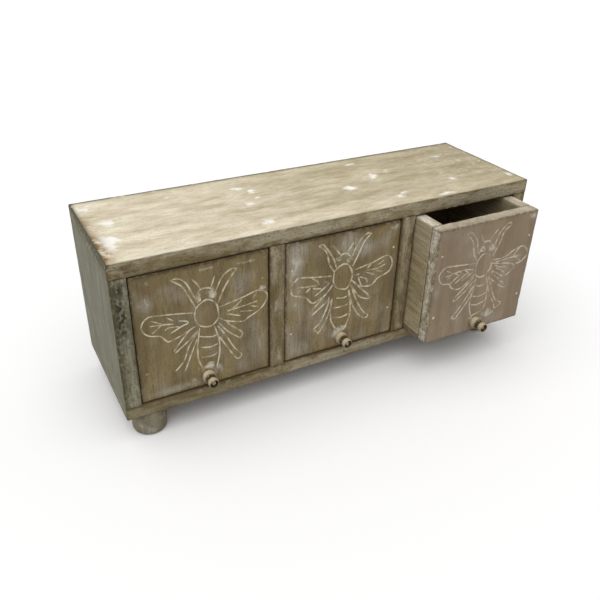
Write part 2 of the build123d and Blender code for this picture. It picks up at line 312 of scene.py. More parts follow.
# Plated steel screw, dulled and spotted: grey with a weak broad shine and brown in patches
screwLook = {"onGrain": False, "patch": 1.1 * mm, "detail": 3, "thin": (0.5, 0.7, 0, 0.7),
             "rough": (0.3, 0.7, 0.4, 0.65), "metal": 0.8, "gloss": 0.5, "bump": 0, "relief": 0.1}
screwSteel = mottledCoat("plated_steel_dulled", screwLook, "#B9AE97", "#6B5438")
print("materials ready:", len(bpy.data.materials))


# Boards

lookingWays = {"left": (-1, 0, 0), "right": (1, 0, 0), "front": (0, -1, 0), "back": (0, 1, 0),
               "down": (0, 0, -1), "up": (0, 0, 1)}

# an arris is rounded to a radius that waves, ripples and jumps at chips: lengths in mm, the rest as shares
boardSettings = {
    "reach": 1.9, "stops": (0, 0.2, 0.45, 0.72, 1.0), "waveLength": 14, "wave": 0.4, "rippleLength": 4,
    "ripple": 0.2, "chipLength": 7, "chipFrom": 0.3, "chip": 2, "noiseShift": 50, "grainShift": 400,
    "facing": 0.7, "arrisReach": 0.9,
}


def gridStops(low, high, reach, cell):
    # close together over the worn arris, then even cells
    edge = [reach * share for share in boardSettings["stops"]]
    count = max(1, round((high - low - 2 * reach) / cell))
    inner = [low + reach + (high - low - 2 * reach) * i / count for i in range(1, count)]
    return [low + e for e in edge] + inner + [high - e for e in reversed(edge)]


def boardMesh(low, high, settings, seed):
    # a board whose arrises are rounded by wear, more at some places than at others, and chipped
    random.seed(seed)
    far = boardSettings["noiseShift"]
    shift = Vector([random.uniform(-far, far) for _ in range(3)])
    wear = settings["wear"]
    reach = boardSettings["reach"] * max(wear) * mm
    stops = [gridStops(low[a], high[a], reach, settings["cell"] * mm) for a in range(3)]

    def worn(point):
        share = (point.z - low.z) / (high.z - low.z)
        radius = (wear[0] + (wear[1] - wear[0]) * share) * mm
        wave = noise.noise(point / (boardSettings["waveLength"] * mm) + shift)
        ripple = noise.noise(point / (boardSettings["rippleLength"] * mm))
        chip = noise.noise(point / (boardSettings["chipLength"] * mm) + 2 * shift) - boardSettings["chipFrom"]
        radius *= (1 + boardSettings["wave"] * wave + boardSettings["ripple"] * ripple
                   + boardSettings["chip"] * max(0, chip))
        radius = min(radius, reach)
        inner = Vector([min(max(point[a], low[a] + radius), high[a] - radius) for a in range(3)])
        out = point - inner
        return inner + out.normalized() * radius

    points, faces, known = [], [], {}
    for axis in range(3):
        u, v = (axis + 1) % 3, (axis + 2) % 3
        for end in (0, len(stops[axis]) - 1):
            for i in range(len(stops[u]) - 1):
                for j in range(len(stops[v]) - 1):
                    face = []
                    for du, dv in ((0, 0), (1, 0), (1, 1), (0, 1)):
                        key = [end] * 3
                        key[u], key[v] = i + du, j + dv
                        key = tuple(key)
                        if key not in known:
                            known[key] = len(points)
                            points.append(worn(Vector([stops[a][key[a]] for a in range(3)])))
                        face.append(known[key])
                    faces.append(face if end else face[::-1])
    return points, faces


def spotsOf(mesh):
    spots = np.zeros(len(mesh.vertices) * 3, np.float32)
    mesh.vertices.foreach_get("co", spots)
    return spots.reshape(-1, 3) / mm


def writeGrain(piece, grainAxis, seed, values):
    # writes where each point lies in the wood, and how washed, chalked, stained and rubbed it is, painted
    # shade and highlights among these
    random.seed(seed)
    mesh = piece.data
    far = boardSettings["grainShift"]
    shift = np.array([random.uniform(-far, far) for _ in range(3)])
    grain = (spotsOf(mesh) + shift)[:, [grainAxis, (grainAxis + 1) % 3, (grainAxis + 2) % 3]]
    mesh.attributes.new("grainPlace", "FLOAT_VECTOR", "POINT").data.foreach_set("vector", grain.ravel())
    for key in paintKeys:
        value = np.array(values.get(key, np.zeros(len(grain))), np.float32)
        mesh.attributes.new(key, "FLOAT", "POINT").data.foreach_set("value", value)


def paintBoard(piece, low, high, grainAxis, seed, arrisReach, marks):
    # marks of each kind are (centre, reach each way, strength), in mm
    spots = spotsOf(piece.data)
    inset = np.minimum(spots - np.array(low) / mm, np.array(high) / mm - spots)
    values = {"arris": np.exp(-(np.sort(inset, 1)[:, 1] / arrisReach) ** 2)}
    for key in marks:
        values.setdefault(key, np.zeros(len(spots)))
        for centre, reach, strength in marks[key]:
            away = (spots - np.array(centre)) / np.array(reach)
            values[key] += strength * np.exp(-(away ** 2).sum(1))
    writeGrain(piece, grainAxis, seed, values)


def faceWoods(piece, woods):
    # the first wood covers the board, each later one the faces that look its ways
    for number, (wood, looking) in enumerate(woods):
        piece.data.materials.append(wood)
        for way in looking.split():
            for face in piece.data.polygons:
                if face.normal.dot(Vector(lookingWays[way])) > boardSettings["facing"]:
                    face.material_index = number


def addBoard(node, body, woods, grainAxis, settings, number=0, marks={}):
    # the grain runs along x, y or z for 0, 1 or 2
    low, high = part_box(node)
    seed = settings["seed"] + number
    piece = newPiece(node + "_wood", *boardMesh(low, high, settings, seed), [])
    faceWoods(piece, woods)
    paintBoard(piece, low, high, grainAxis, seed, {**boardSettings, **settings}["arrisReach"], marks)
    standFor(piece, node, body)


def marksInFront(node, depth, marks):
    # marks on a front are (x from its middle, height above its lower side, reach across and up, strength)
    low, high = (Vector(corner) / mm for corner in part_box(node))
    return {key: [(((low.x + high.x) / 2 + x, low.y, low.z + height), (across, depth, up), strength)
                  for x, height, across, up, strength in spots] for key, spots in marks.items()}


# marks on the top's upper face are (x, y from its middle, reach along and across, strength)
topSettings = {
    "wear": (0.4, 0.9), "cell": 1.8, "seed": 3, "faceDepth": 6, "edgeDepth": 1.5,
    "woods": [(topWood, ""), (edgeWood, "front back"), (greyEdgeWood, "left right"), (bareWood, "down")],
    "face": {
        "wash": [
            (-150, -10, 100, 90, 0.2), (-80, -50, 120, 8, 0.16), (30, 20, 90, 60, -0.06),
            (165, 10, 110, 90, -0.2), (-168, 42, 14, 12, 0.16), (-158, 0, 9, 9, 0.14),
            (-52, -40, 14, 8, 0.12), (20, -42, 60, 6, 0.1), (60, -2, 30, 10, 0.08), (-172, 16, 8, 20, -0.14),
            (-177, 0, 2.5, 500, -0.3)],
        "chalkAndHighlight": [
            (-165, -19, 9, 9, 0.6), (-166, -31, 5, 8, 0.42), (-157, 8, 7, 6, 0.46), (-168, 40, 9, 7, 0.4),
            (-171, 7, 2, 2, 0.5), (-52, 29, 5, 4, 0.55), (-43, 19, 5, 4, 0.58), (-44, 6, 4, 2, 0.36),
            (-54, -3, 4, 3, 0.58), (-56, -38, 6, 4, 0.54), (-116, -46, 9, 4, 0.3), (-106, 35, 4, 3, 0.28),
            (58, 39, 6, 3, 0.36), (61, 7, 6, 5, 0.52), (77, 13, 5, 4, 0.36), (30, -7, 7, 5, 0.58),
            (57, -38, 5, 4, 0.56), (66, -33, 6, 3, 0.34), (119, -24, 6, 4, 0.38), (95, -49, 12, 2.5, 0.44),
            (169, -37, 2.5, 3, 0.5), (140, 26, 8, 3, 0.22), (155, 5, 50, 45, 0.12)],
        "stainAndShade": [
            (-174, -14, 6, 9, 1.1), (-173, -30, 6, 10, 1.1), (-173, -44, 6, 8, 1.0), (-173, 10, 4, 12, 0.7),
            (129, 13, 9, 2, 0.35), (-177, 0, 2.5, 500, 0.8)],
        "arris": [
            (0, 53.5, 500, 3.0, 1.3), (-175, 0, 1.8, 500, 1.1), (175, 0, 2.2, 500, 0.8),
            (172, 20, 70, 60, 0.22)],
    },
    # on the front edge: a painted shadow line under the lower arris, and at the left a painted shadow line
    # carrying on the gap above the left drawer
    "edge": {
        "wash": [(-130, 5, 45, 9, -0.18), (-30, 6, 30, 6, 0.14), (75, 6, 40, 8, 0.17), (145, 6, 40, 8, 0.34)],
        "stainAndShade": [(-163, 3.2, 14, 1.0, 0.8)],
        "arris": [(0, 0, 500, 2.2, 0.8)],
    },
}
topLow, topHigh = (Vector(corner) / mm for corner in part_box("top_board"))
topMiddle = (topLow + topHigh) / 2
topMarks = marksInFront("top_board", topSettings["edgeDepth"], topSettings["edge"])
for key, spots in topSettings["face"].items():
    depth = topSettings["faceDepth"]
    onFace = [((topMiddle.x + x, topMiddle.y + y, topHigh.z), (along, across, depth), strength)
              for x, y, along, across, strength in spots]
    topMarks[key] = onFace + topMarks.get(key, [])
addBoard("top_board", "carcass", topSettings["woods"], 0, topSettings, 0, topMarks)

# marks: bark on the left side, a pale middle on each divider, brown arrises, painted shadow on the right
# divider beside the open drawer, and dirt and painted shadow along the base
frameSettings = {
    "wall": {"wear": (0.8, 0.8), "cell": 2.0, "seed": 11, "arrisReach": 1.7},
    "base": {"wear": (0.9, 0.4), "cell": 3.0, "seed": 21},
    "panel": {"wear": (0.35, 0.35), "cell": 3.0, "seed": 22},
    "markDepth": 3,
    "walls": {"left_side": ("left back", greyEdgeWood), "right_side": ("right back", edgeWood),
              "left_divider": ("back", edgeWood), "right_divider": ("back", edgeWood)},
    "marks": {
        "left_side": {
            "wash": [(5, 85, 1.5, 20, 0.24), (0, 102, 5, 1.5, 0.25), (2, 42, 3, 14, 0.16),
                     (0, 15, 8, 16, 0.04)],
            "chalkAndHighlight": [(-2, 90, 2.5, 3, 0.36), (1, 70, 2, 2, 0.2)],
            "stainAndShade": [(-1, 96, 4.5, 4, 1.0), (-1, 86, 4, 6, 0.9), (0, 76, 4, 6, 1.0), (0, 66, 4, 5, 0.9),
                      (1, 55, 2.5, 6, 0.5), (-3, 60, 2, 30, 0.4)],
            "arris": [(-5, 55, 2.5, 60, 0.9)]},
        "left_divider": {"wash": [(-1, 90, 2.5, 12, 0.12), (-1, 45, 2, 40, 0.04)]},
        # painted shadow: a dark line along the right arris beside the open drawer, and the open drawer's
        # shadow on the lower part
        "right_divider": {
            "wash": [(0, 97, 5, 8, 0.24), (-1, 66, 2, 22, 0.26), (2, 4, 4, 3, 0.35)],
            "arris": [(5, 80, 2, 16, 0.8), (0, 25, 8, 14, 0.5)]},
        # arris marks along the upper front arris: dirt and painted shadow under the drawer fronts
        "base_board": {
            "wash": [(0, 5, 60, 8, 0.2), (-130, 5, 50, 8, -0.12)],
            "arris": [(-92, 10, 40, 3, 0.9), (-20, 10, 30, 2, 0.5), (70, 10, 40, 2.5, 0.7)]},
    },
}
for number, (node, (washed, frontEdge)) in enumerate(frameSettings["walls"].items()):
    marks = marksInFront(node, frameSettings["markDepth"], frameSettings["marks"].get(node, {}))
    addBoard(node, "carcass", [(bareWood, ""), (sideWood, washed), (frontEdge, "front")], 2,
             frameSettings["wall"], number, marks)
marks = marksInFront("base_board", frameSettings["markDepth"], frameSettings["marks"]["base_board"])
addBoard("base_board", "carcass",
         [(edgeWood, ""), (bareWood, "up down"), (sideWood, "left right")], 0,
         frameSettings["base"], 0, marks)
addBoard("back_panel", "carcass", [(panelWood, ""), (bareWood, "front")], 0,
         frameSettings["panel"])
print("carcass boards built")


# Drawers

# the carved bees, part by part and stroke by stroke: (x, z) in mm from the middle of the front's lower edge
leftBee = {
    "thorax": [
        [(-7, 66), (-4, 69), (1, 71.5), (5, 70), (8.5, 66), (9.7, 60), (9.5, 55), (7, 51), (3, 49),
         (-1, 49.7), (-5, 52), (-7.2, 56), (-8, 61), (-7, 66)]],
    "head": [[(-6, 77), (-4, 79.7), (-1.5, 81), (1, 81), (4.5, 80), (7, 77.7)]],
    "eyes": [[(-5.4, 78), (-4.5, 74.8), (-3, 71.6)], [(5, 77.8), (6, 74.6), (6.3, 71.6)]],
    "antennae": [[(-2.7, 81), (-4.5, 85), (-8.2, 90)], [(5, 81), (6.5, 84), (8, 88.7)]],
    "leftHorn": [
        [(-23.5, 92.7), (-16, 86.7), (-11, 76.7), (-6.5, 66)],
        [(-23.5, 92.7), (-19, 93), (-15, 91), (-11.5, 86), (-7, 75), (-5, 70.7)]],
    "rightHorn": [
        [(8, 74), (9, 78), (14, 87), (20.5, 91.3), (25, 90.7)], [(10, 66.7), (14, 76), (20, 85), (25, 91)]],
    "leftWing": [
        [(-8, 63.3), (-23.5, 66.3), (-38, 68.5), (-42, 67.7), (-45, 64.7), (-46, 60.7), (-44, 56),
         (-40, 53), (-33.5, 51), (-29.5, 46), (-27, 45), (-18, 47.7), (-8, 52)]],
    "leftVeins": [
        [(-39, 65), (-32, 61)], [(-40, 61), (-30, 59.7), (-23.5, 58.3)], [(-28, 64.7), (-23.5, 61)],
        [(-39, 54.7), (-35, 57.7), (-31.5, 60)],
        [(-20, 60), (-14, 58), (-13.5, 56), (-17.5, 55), (-26, 51.3)],
        [(-30, 54.7), (-27.5, 56.3), (-22, 55.7), (-19.5, 54.7)]],
    "rightWing": [
        [(10.8, 63), (28.5, 66.3), (40, 69), (46, 67), (48, 63.7), (47.5, 59.7), (42.5, 53), (32, 47.7),
         (28, 46), (16.5, 49.7), (10.5, 53.7)]],
    "rightVeins": [
        [(40, 68), (36, 62.7)], [(28, 64.7), (23.5, 60.8), (18.4, 58.4)],
        [(16.5, 58), (29, 59), (41, 60.3)], [(16, 55.7), (22, 53.3), (26.5, 51.3)], [(26.5, 55), (36, 53)],
        [(34.5, 57.7), (40.5, 55.3)]],
    "leftLeg": [
        [(-8, 52), (-13, 49.5), (-21.5, 40), (-25, 35.5)], [(-7, 48), (-11, 43.7), (-17, 39), (-24, 34)]],
    "leftTail": [[(-6, 47.7), (-13.5, 37), (-18, 25.7), (-25, 18.3)], [(-7.5, 41), (-13, 28), (-18, 16)]],
    "rightLeg": [
        [(15.5, 49.7), (18.5, 45.7), (26.5, 38), (27.5, 35), (26, 32)],
        [(10, 49.7), (13, 45), (18, 39), (26, 32)]],
    "rightTail": [
        [(8.5, 48), (15, 37), (20.5, 25.7), (27, 17)], [(9, 39), (16.5, 25), (23, 14.3), (27, 16.7)]],
    "abdomen": [
        [(-5, 49.7), (-7, 37), (-7.5, 29), (-7, 21.7), (-2, 8)],
        [(6, 49), (9, 37), (9.5, 30), (9, 23), (6.5, 12)]],
    "bands": [
        [(-5.5, 42.7), (-1, 41), (4.5, 39.7), (8, 40.7)], [(-5, 33), (2, 31.3), (8, 32.3)],
        [(-5, 24.3), (3, 23), (7, 24.3)], [(-4, 14.3), (5, 15)]],
}
middleBee = {
    "thorax": [
        [(-7, 69), (-4, 72), (0.5, 74), (4.5, 73), (7, 69.7), (9, 65), (9, 59.7), (7, 54), (4, 51.3),
         (0.5, 52.3), (-3.5, 54), (-6, 57), (-7.5, 61), (-7.5, 65), (-7, 69)]],
    "head": [[(-6.5, 80), (-3, 80.7), (-1.5, 82.3), (2.5, 83), (6, 80), (8.5, 76)]],
    "eyes": [[(-5.6, 79.6), (-3.4, 78.8), (-1.8, 79.4)], [(4, 77.8), (5.1, 76), (5.6, 74.6)]],
    "antennae": [[(-2.5, 82.7), (-5, 86), (-9.5, 91.7)], [(4, 83.7), (6, 87), (9, 91)]],
    "leftHorn": [
        [(-21.5, 94), (-15, 87.7), (-11.5, 76), (-7, 69)], [(-18, 94.7), (-13, 88), (-8, 79.7), (-5.5, 72)],
        [(-21.5, 94), (-18, 94.7)]],
    "rightHorn": [
        [(8.5, 79), (10, 84), (15, 92), (18.5, 95)], [(9, 70), (14, 80), (18.5, 89.7), (24.5, 95)],
        [(18.5, 95), (21.5, 96), (24.5, 95)]],
    "leftWing": [
        [(-9.5, 66), (-25.5, 68.7), (-37, 71), (-41, 69), (-44, 65.7), (-44, 61), (-42, 57), (-32, 53),
         (-27.5, 47.7), (-23.5, 46), (-14, 51), (-8, 58)]],
    "leftVeins": [
        [(-26.5, 67.7), (-22, 64.7), (-20, 61)], [(-39, 63), (-33, 62), (-22, 61)],
        [(-39, 58), (-35.5, 61)], [(-31.5, 57), (-27.5, 60)], [(-25.5, 59), (-18, 57)],
        [(-24, 51.7), (-20, 54), (-11, 60)], [(-15, 62.7), (-11, 60)]],
    "rightWing": [
        [(12, 66.7), (26.5, 69), (40, 72.7), (44, 71), (46.5, 66), (46, 61), (43, 57), (34, 54),
         (30.5, 50.7), (26.5, 48.7), (17, 51), (9, 58)]],
    "rightVeins": [
        [(26.5, 68), (22.5, 65)], [(22, 63.7), (32, 63), (40, 65)], [(33, 66), (38.5, 69)],
        [(22.5, 61.7), (30, 58)], [(32, 61), (38.5, 59)], [(15, 59.7), (17, 54), (18.5, 51)],
        [(16.5, 59), (22.5, 56), (24, 51.7)], [(12, 61.7), (16, 61.7)]],
    "leftLeg": [[(-9.5, 55.7), (-17, 47.7), (-25.5, 40)], [(-11.5, 45), (-17, 41), (-25.5, 35)]],
    "leftTail": [
        [(-11, 48), (-11.5, 41), (-17, 28), (-24, 21)], [(-8, 45.7), (-9, 37.7), (-13.5, 25), (-19.5, 16)],
        [(-24.5, 20.7), (-21, 19), (-19.5, 16)]],
    "rightLeg": [
        [(9, 58), (16.5, 50), (24.5, 42), (28, 37)], [(8.5, 54), (16.5, 42), (24.5, 37)],
        [(24.5, 37), (28, 37)]],
    "rightTail": [
        [(10, 50), (15.5, 37), (22, 26), (27.5, 21)], [(7, 50), (10.5, 37), (16.5, 25.7), (23, 19.3)],
        [(23, 19.3), (26, 19), (27.5, 21)]],
    "abdomen": [
        [(-9, 44), (-8.5, 30), (-7.5, 24), (-2, 13.7)],
        [(6.5, 50), (9, 37.7), (9.5, 31), (9, 24), (4.5, 13)]],
    "bands": [
        [(-4, 45), (2.5, 43.7), (6, 44.7)], [(-7.5, 36.7), (0, 36), (7, 36.7)],
        [(-7, 28), (1, 26), (9, 27.7)], [(0.5, 17.7), (6.5, 16)]],
}
rightBee = {
    "thorax": [
        [(-6, 67), (-4, 70), (-1, 72), (3, 71.7), (6, 69), (8, 66), (9, 61.7), (9, 57), (6.5, 54),
         (4, 51.7), (0.5, 50.7), (-3.5, 52), (-6, 55), (-7, 59.7), (-7, 64), (-6, 67)]],
    "head": [[(-4, 81), (-1.5, 83), (2.5, 83), (5, 81)]],
    "eyes": [[(-6.2, 77.2), (-4, 76.4), (-1.8, 75.4)], [(4.4, 77.8), (6, 75.9), (7.6, 74.4)]],
    "antennae": [[(-2, 83), (-5, 86), (-7.5, 91)], [(3, 84), (6.5, 88), (10, 91.7)]],
    "leftHorn": [
        [(-21.5, 93), (-15, 85.7), (-11.5, 74), (-7, 67)], [(-18, 95), (-11, 87), (-8, 76), (-5.5, 73)],
        [(-21.5, 93), (-18, 95)]],
    "rightHorn": [
        [(9, 77.7), (12.5, 88), (19, 94.7)], [(9, 68), (14, 77.7), (17, 88), (24, 93)],
        [(19, 94.7), (21.8, 95), (24, 93)]],
    "leftWing": [
        [(-7.3, 65.2), (-20, 66.5), (-32.6, 68), (-38.3, 68.4), (-42.8, 65.2), (-44.4, 60.8), (-42.1, 55.7),
         (-38.3, 53.2), (-33.2, 52.3), (-30.1, 48.1), (-23.7, 45), (-16.8, 46.9), (-7.3, 55.1)]],
    "leftVeins": [
        [(-37, 64.6), (-33.5, 63), (-30.1, 60.8)], [(-37.7, 59.6), (-34, 60), (-30.1, 60.8)],
        [(-35.8, 56.4), (-31.3, 59.9)], [(-30.1, 60.8), (-19.3, 61.7), (-9.2, 59.6)],
        [(-32, 52), (-26.9, 55.7), (-21.2, 58.9)], [(-26.9, 51.1), (-20.6, 55.1), (-14.2, 58.3)],
        [(-20, 52), (-13, 55.7), (-9.2, 57.6)], [(-28.5, 60.6), (-25, 58.8), (-22, 56.6)],
        [(-24, 61), (-19.5, 58.4), (-16.5, 55.6)], [(-18.5, 61), (-15, 58.8), (-12, 56)]],
    "rightWing": [
        [(10, 64), (22.5, 64), (31, 68), (37, 70), (42, 70), (46, 67), (48, 62), (46, 58), (41, 55),
         (36.5, 55)]],
    "rightVeins": [
        [(10, 61), (28.5, 62), (36, 61), (42, 56)], [(38.5, 69.7), (34.5, 65.7), (32.5, 62)],
        [(32.5, 62), (41, 62)]],
    "rightHindWing": [
        [(10.4, 60.8), (20, 58.9), (28.8, 57), (34.5, 54.5), (35.2, 52), (31.4, 47.5), (25, 46), (18, 50.1),
         (11.1, 53.9)]],
    "rightHindVeins": [[(13, 58.9), (20, 55.4), (26.3, 54.5)], [(14.9, 55.7), (21.9, 52), (25.6, 48.8)]],
    "leftLeg": [
        [(-7.3, 52.6), (-15.5, 45), (-25.2, 37)], [(-6.6, 49.4), (-14.2, 41.2), (-24.7, 33.6)],
        [(-25.2, 37), (-25.8, 34.6), (-24.7, 33.6)]],
    "leftTail": [
        [(-6.6, 43.7), (-11.7, 34.9), (-16.8, 27.3), (-25, 17.7)],
        [(-6.4, 37.4), (-10.4, 29.8), (-20.6, 15.9)], [(-25, 17.7), (-20.6, 15.9)]],
    "rightLeg": [
        [(11, 53), (20.5, 44), (29, 37)], [(12, 46), (20.5, 39), (28, 34)],
        [(29, 37), (29.6, 34.8), (28, 34)]],
    "rightTail": [
        [(9, 49), (15, 36), (20.5, 25), (29, 19)],
        [(7, 47.7), (12.5, 33), (20, 21), (22.8, 15), (29, 18.6)]],
    "abdomen": [
        [(-5, 51), (-6.5, 37.7), (-7, 25.7), (-3.5, 13.7)], [(6.5, 50), (9.5, 37), (10.5, 24), (9, 17)]],
    "bands": [
        [(-4, 44), (1, 42), (6, 43)], [(-5.5, 34), (2, 32), (9, 33.7)], [(-5.5, 26), (0.5, 24), (10, 26)],
        [(-4, 14), (2, 15), (8.5, 17)]],
}

# widths, depths and lengths are in mm; the strokes were read off a slightly larger front, hence the scale
carveSettings = {
    "scale": 0.987, "halfWidth": 0.54, "depth": 0.5, "deepest": 1.2, "proud": 0.4, "floor": 0.3, "steps": 5,
    "taper": 2.2, "entry": 0.5, "wander": 0.3, "wanderLength": 4, "sharpAngle": 25,
    "gauges": {"Veins": 0.9, "bands": 0.9, "eyes": 2.4},
}


def grooveCutter(bee, gouge, centreX, lowZ, faceY, lime):
    # one long V-shaped chip for each stroke of the gouge, shallow where the tool goes in and comes out
    points, faces = [], []
    proud = carveSettings["proud"]
    for part, stroke in [(part, stroke) for part, strokes in bee.items() for stroke in strokes]:
        gauge = gouge * next((g for word, g in carveSettings["gauges"].items() if word in part), 1.0)
        line = [spot * carveSettings["scale"] for spot in throughPoints(stroke, carveSettings["steps"])]
        run = [0.0]
        for a, b in zip(line, line[1:]):
            run.append(run[-1] + (b - a).length)
        first = len(points)
        for i, spot in enumerate(line):
            along = (line[min(i + 1, len(line) - 1)] - line[max(i - 1, 0)]).normalized()
            side = Vector((along.y, 0, -along.x))
            entry = min(run[i], run[-1] - run[i]) / carveSettings["taper"]
            where = spot / carveSettings["wanderLength"]
            wander = 1 + carveSettings["wander"] * noise.noise((where.x, where.y, lowZ))
            tip = carveSettings["entry"]
            strength = gauge * (tip + (1 - tip) * min(1, entry)) * wander
            width = carveSettings["halfWidth"] * strength
            depth = carveSettings["depth"] * min(strength, carveSettings["deepest"])
            over = width * (1 + proud / depth)
            floor = carveSettings["floor"] * width
            centre = Vector((centreX + spot.x, faceY, lowZ + spot.y))
            for across, inward in ((-over, -proud), (over, -proud), (floor, depth), (-floor, depth)):
                points.append((centre + side * across + Vector((0, inward, 0))) * mm)
        count = len(line)
        faces.append([first + k for k in (3, 2, 1, 0)])
        faces.append([first + 4 * (count - 1) + k for k in range(4)])
        for i in range(count - 1):
            ring = first + 4 * i
            for k in range(4):
                after = (k + 1) % 4
                faces.append([ring + k, ring + after, ring + 4 + after, ring + 4 + k])
    return newPiece("carving_chips", points, faces, [lime])


def carve(piece, cutter):
    cut = piece.modifiers.new("carving", "BOOLEAN")
    cut.object = cutter
    cut.operation = "DIFFERENCE"
    cut.solver = "EXACT"
    cut.use_self = True
    cut.material_mode = "TRANSFER"
    carved = bpy.data.meshes.new_from_object(piece.evaluated_get(bpy.context.evaluated_depsgraph_get()))
    piece.modifiers.clear()
    piece.data = carved
    carved.shade_smooth()
    carved.set_sharp_from_angle(angle=math.radians(carveSettings["sharpAngle"]))
    bpy.data.objects.remove(cutter)


frontSettings = {
    "wear": (0.9, 0.9), "cell": 1.5, "arrisReach": 1.6, "markDepth": 6,
    "left": {
        "bee": leftBee, "beeShift": (0.8, 1.8), "gouge": 0.97,
        "wood": brownFrontWood, "lime": brownFrontLime, "seed": 31,
        "wash": [(-41, 81, 7, 8, 0.26), (-17, 78, 9, 6, 0.11), (-43, 28, 10, 22, -0.12),
                 (26, 82, 10, 8, 0.16), (-22, 4, 28, 4, 0.28), (36, 18, 15, 20, 0.29), (-2, 80, 44, 9, 0.04),
                 (0, 99, 60, 7, -0.12), (46, 45, 6, 30, -0.12), (20, 3, 30, 3, -0.06)],
        "chalkAndHighlight": [(-41, 81, 5, 6, 0.24), (-38, 95, 4, 3, 0.24), (45, 71, 3, 2, 0.6), (2, 96, 9, 0.7, 0.36),
                  (34, 95, 14, 0.9, 0.42), (20, 90, 10, 0.6, 0.26), (2, 16, 4, 2.6, 0.7),
                  (4, 19, 3, 1.2, 0.5), (-5, 14, 2.5, 3, 0.4), (9, 11, 5, 8, 0.3), (-10, 6, 5, 4, 0.4),
                  (-27, 4, 9, 3, 0.36), (-3.8, 75.5, 2.8, 4, 0.6), (6.3, 75.5, 2.8, 4, 0.62)],
        # stain and arris marks at the top and sides: dirt and painted shade in the gaps around the closed
        # drawer
        "stainAndShade": [(0, 101.5, 60, 1.8, 0.8), (-50, 50, 0.9, 60, 0.4), (50, 75, 1.2, 35, 0.9)],
        "arris": [(0, 101, 60, 1.6, 0.7)]},
    "middle": {
        "bee": middleBee, "beeShift": (-1.4, 1.5), "gouge": 1.15,
        "wood": brownFrontWood, "lime": brownFrontLime, "seed": 32,
        "wash": [(-41, 82, 9, 16, 0.2), (-38, 45, 12, 22, 0.16), (18, 85, 16, 10, 0.14),
                 (-1, 91, 9, 6, 0.16), (-35, 12, 16, 14, 0.16), (38, 18, 12, 16, 0.12),
                 (-42, 55, 10, 50, 0.08), (24, 88, 22, 9, 0.08), (28, 40, 14, 10, 0.06)],
        "chalkAndHighlight": [(-41, 85, 5, 9, 0.4), (-44, 72, 4, 6, 0.3), (-1, 92, 6, 3.5, 0.26), (45, 96, 5, 3, 0.44),
                  (-3.5, 13.5, 4.5, 5, 0.7), (3, 16, 4, 2.5, 0.44), (-41, 49, 5, 5, 0.22),
                  (18, 84, 8, 5, 0.14), (-5, 79.4, 2.6, 1.4, 0.55), (3.7, 76.8, 2, 2.2, 0.7)],
        # stain and arris marks at the top and sides: dirt and painted shade in the gaps around the closed
        # drawer
        "stainAndShade": [(0, 101.5, 60, 1.8, 0.8), (-50, 50, 0.9, 60, 0.7), (50, 50, 0.9, 60, 0.5)],
        "arris": [(0, 101, 60, 1.6, 0.7)]},
    "right": {
        "bee": rightBee, "beeShift": (-0.9, 1.1), "gouge": 1.1,
        "wood": roseFrontWood, "lime": roseFrontLime, "seed": 33,
        "wash": [(-46, 8, 8, 10, 0.12), (20, 8, 14, 6, 0.12), (0, 101.5, 60, 1.5, -0.42)],
        "chalkAndHighlight": [(45, 96, 5, 4, 0.44), (13, 12.5, 7, 4.5, 0.56), (-3, 12, 3.5, 3, 0.5),
                  (-4.6, 76.5, 3.3, 3.0, 0.7), (5.4, 76.3, 3.2, 3.6, 0.75)],
        "stainAndShade": [(-36, 101.5, 12, 2, 0.3), (-8, 101.5, 8, 2, 0.22), (22, 101.5, 9, 2, 0.28)],
        "arris": []},
}


def addFront(name):
    body = name + "_drawer"
    node = body + "_front"
    settings = frontSettings[name]
    low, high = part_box(node)
    front = newPiece(node + "_carved", *boardMesh(low, high, frontSettings, settings["seed"]), [])
    faceWoods(front, [(settings["wood"], ""), (cutEdgeWood, "left right"), (rimWood, "up"),
                      (edgeWood, "down"), (bareWood, "back")])
    beeX, beeZ = settings["beeShift"]
    beeX += (low.x + high.x) / 2 / mm
    beeZ += low.z / mm
    chips = grooveCutter(settings["bee"], settings["gouge"], beeX, beeZ, low.y / mm, settings["lime"])
    carve(front, chips)
    marks = marksInFront(node, frontSettings["markDepth"], {key: settings[key] for key in paintKeys})
    paintBoard(front, low, high, 2, settings["seed"], frontSettings["arrisReach"], marks)
    standFor(front, node, body)


# the boards of a drawer box: grain axis and washed faces of each, the right side washed inside too, partly as
# painted light on the lit inner wall of the open box; marks on the open box, in the frame's mm
boxSettings = {
    "boards": {"left_side": (1, "left"), "right_side": (1, "left right"), "back": (0, "back")},
    "wear": (0.4, 0.7), "cell": 4.0, "seed": 51, "seedStep": 10, "open": "right",
    "bottom": {"wear": (0.3, 0.3), "cell": 5.0, "seed": 54},
    "rubbed": {"wash": [((63, -48, 122), (6, 30, 16), 0.62), ((63, -52, 60), (6, 20, 40), 0.12)],
               # the chalk mark on the right rim is a painted highlight
               "chalkAndHighlight": [((157, -42, 132.6), (4, 16, 2), 0.34)]},
}

for number, name in enumerate(drawerNames):
    body = name + "_drawer"
    seedShift = boxSettings["seedStep"] * number
    addFront(name)
    for k, (part, (grainAxis, washed)) in enumerate(boxSettings["boards"].items()):
        addBoard(f"{body}_{part}", body,
                 [(bareWood, ""), (boxWood, washed), (rimWood, "up")], grainAxis, boxSettings, seedShift + k,
                 boxSettings["rubbed"] if name == boxSettings["open"] else {})
    addBoard(body + "_bottom", body, [(panelWood, ""), (bareWood, "up")], 0,
             boxSettings["bottom"], seedShift)
print("drawers built")


# Turned pieces and pins

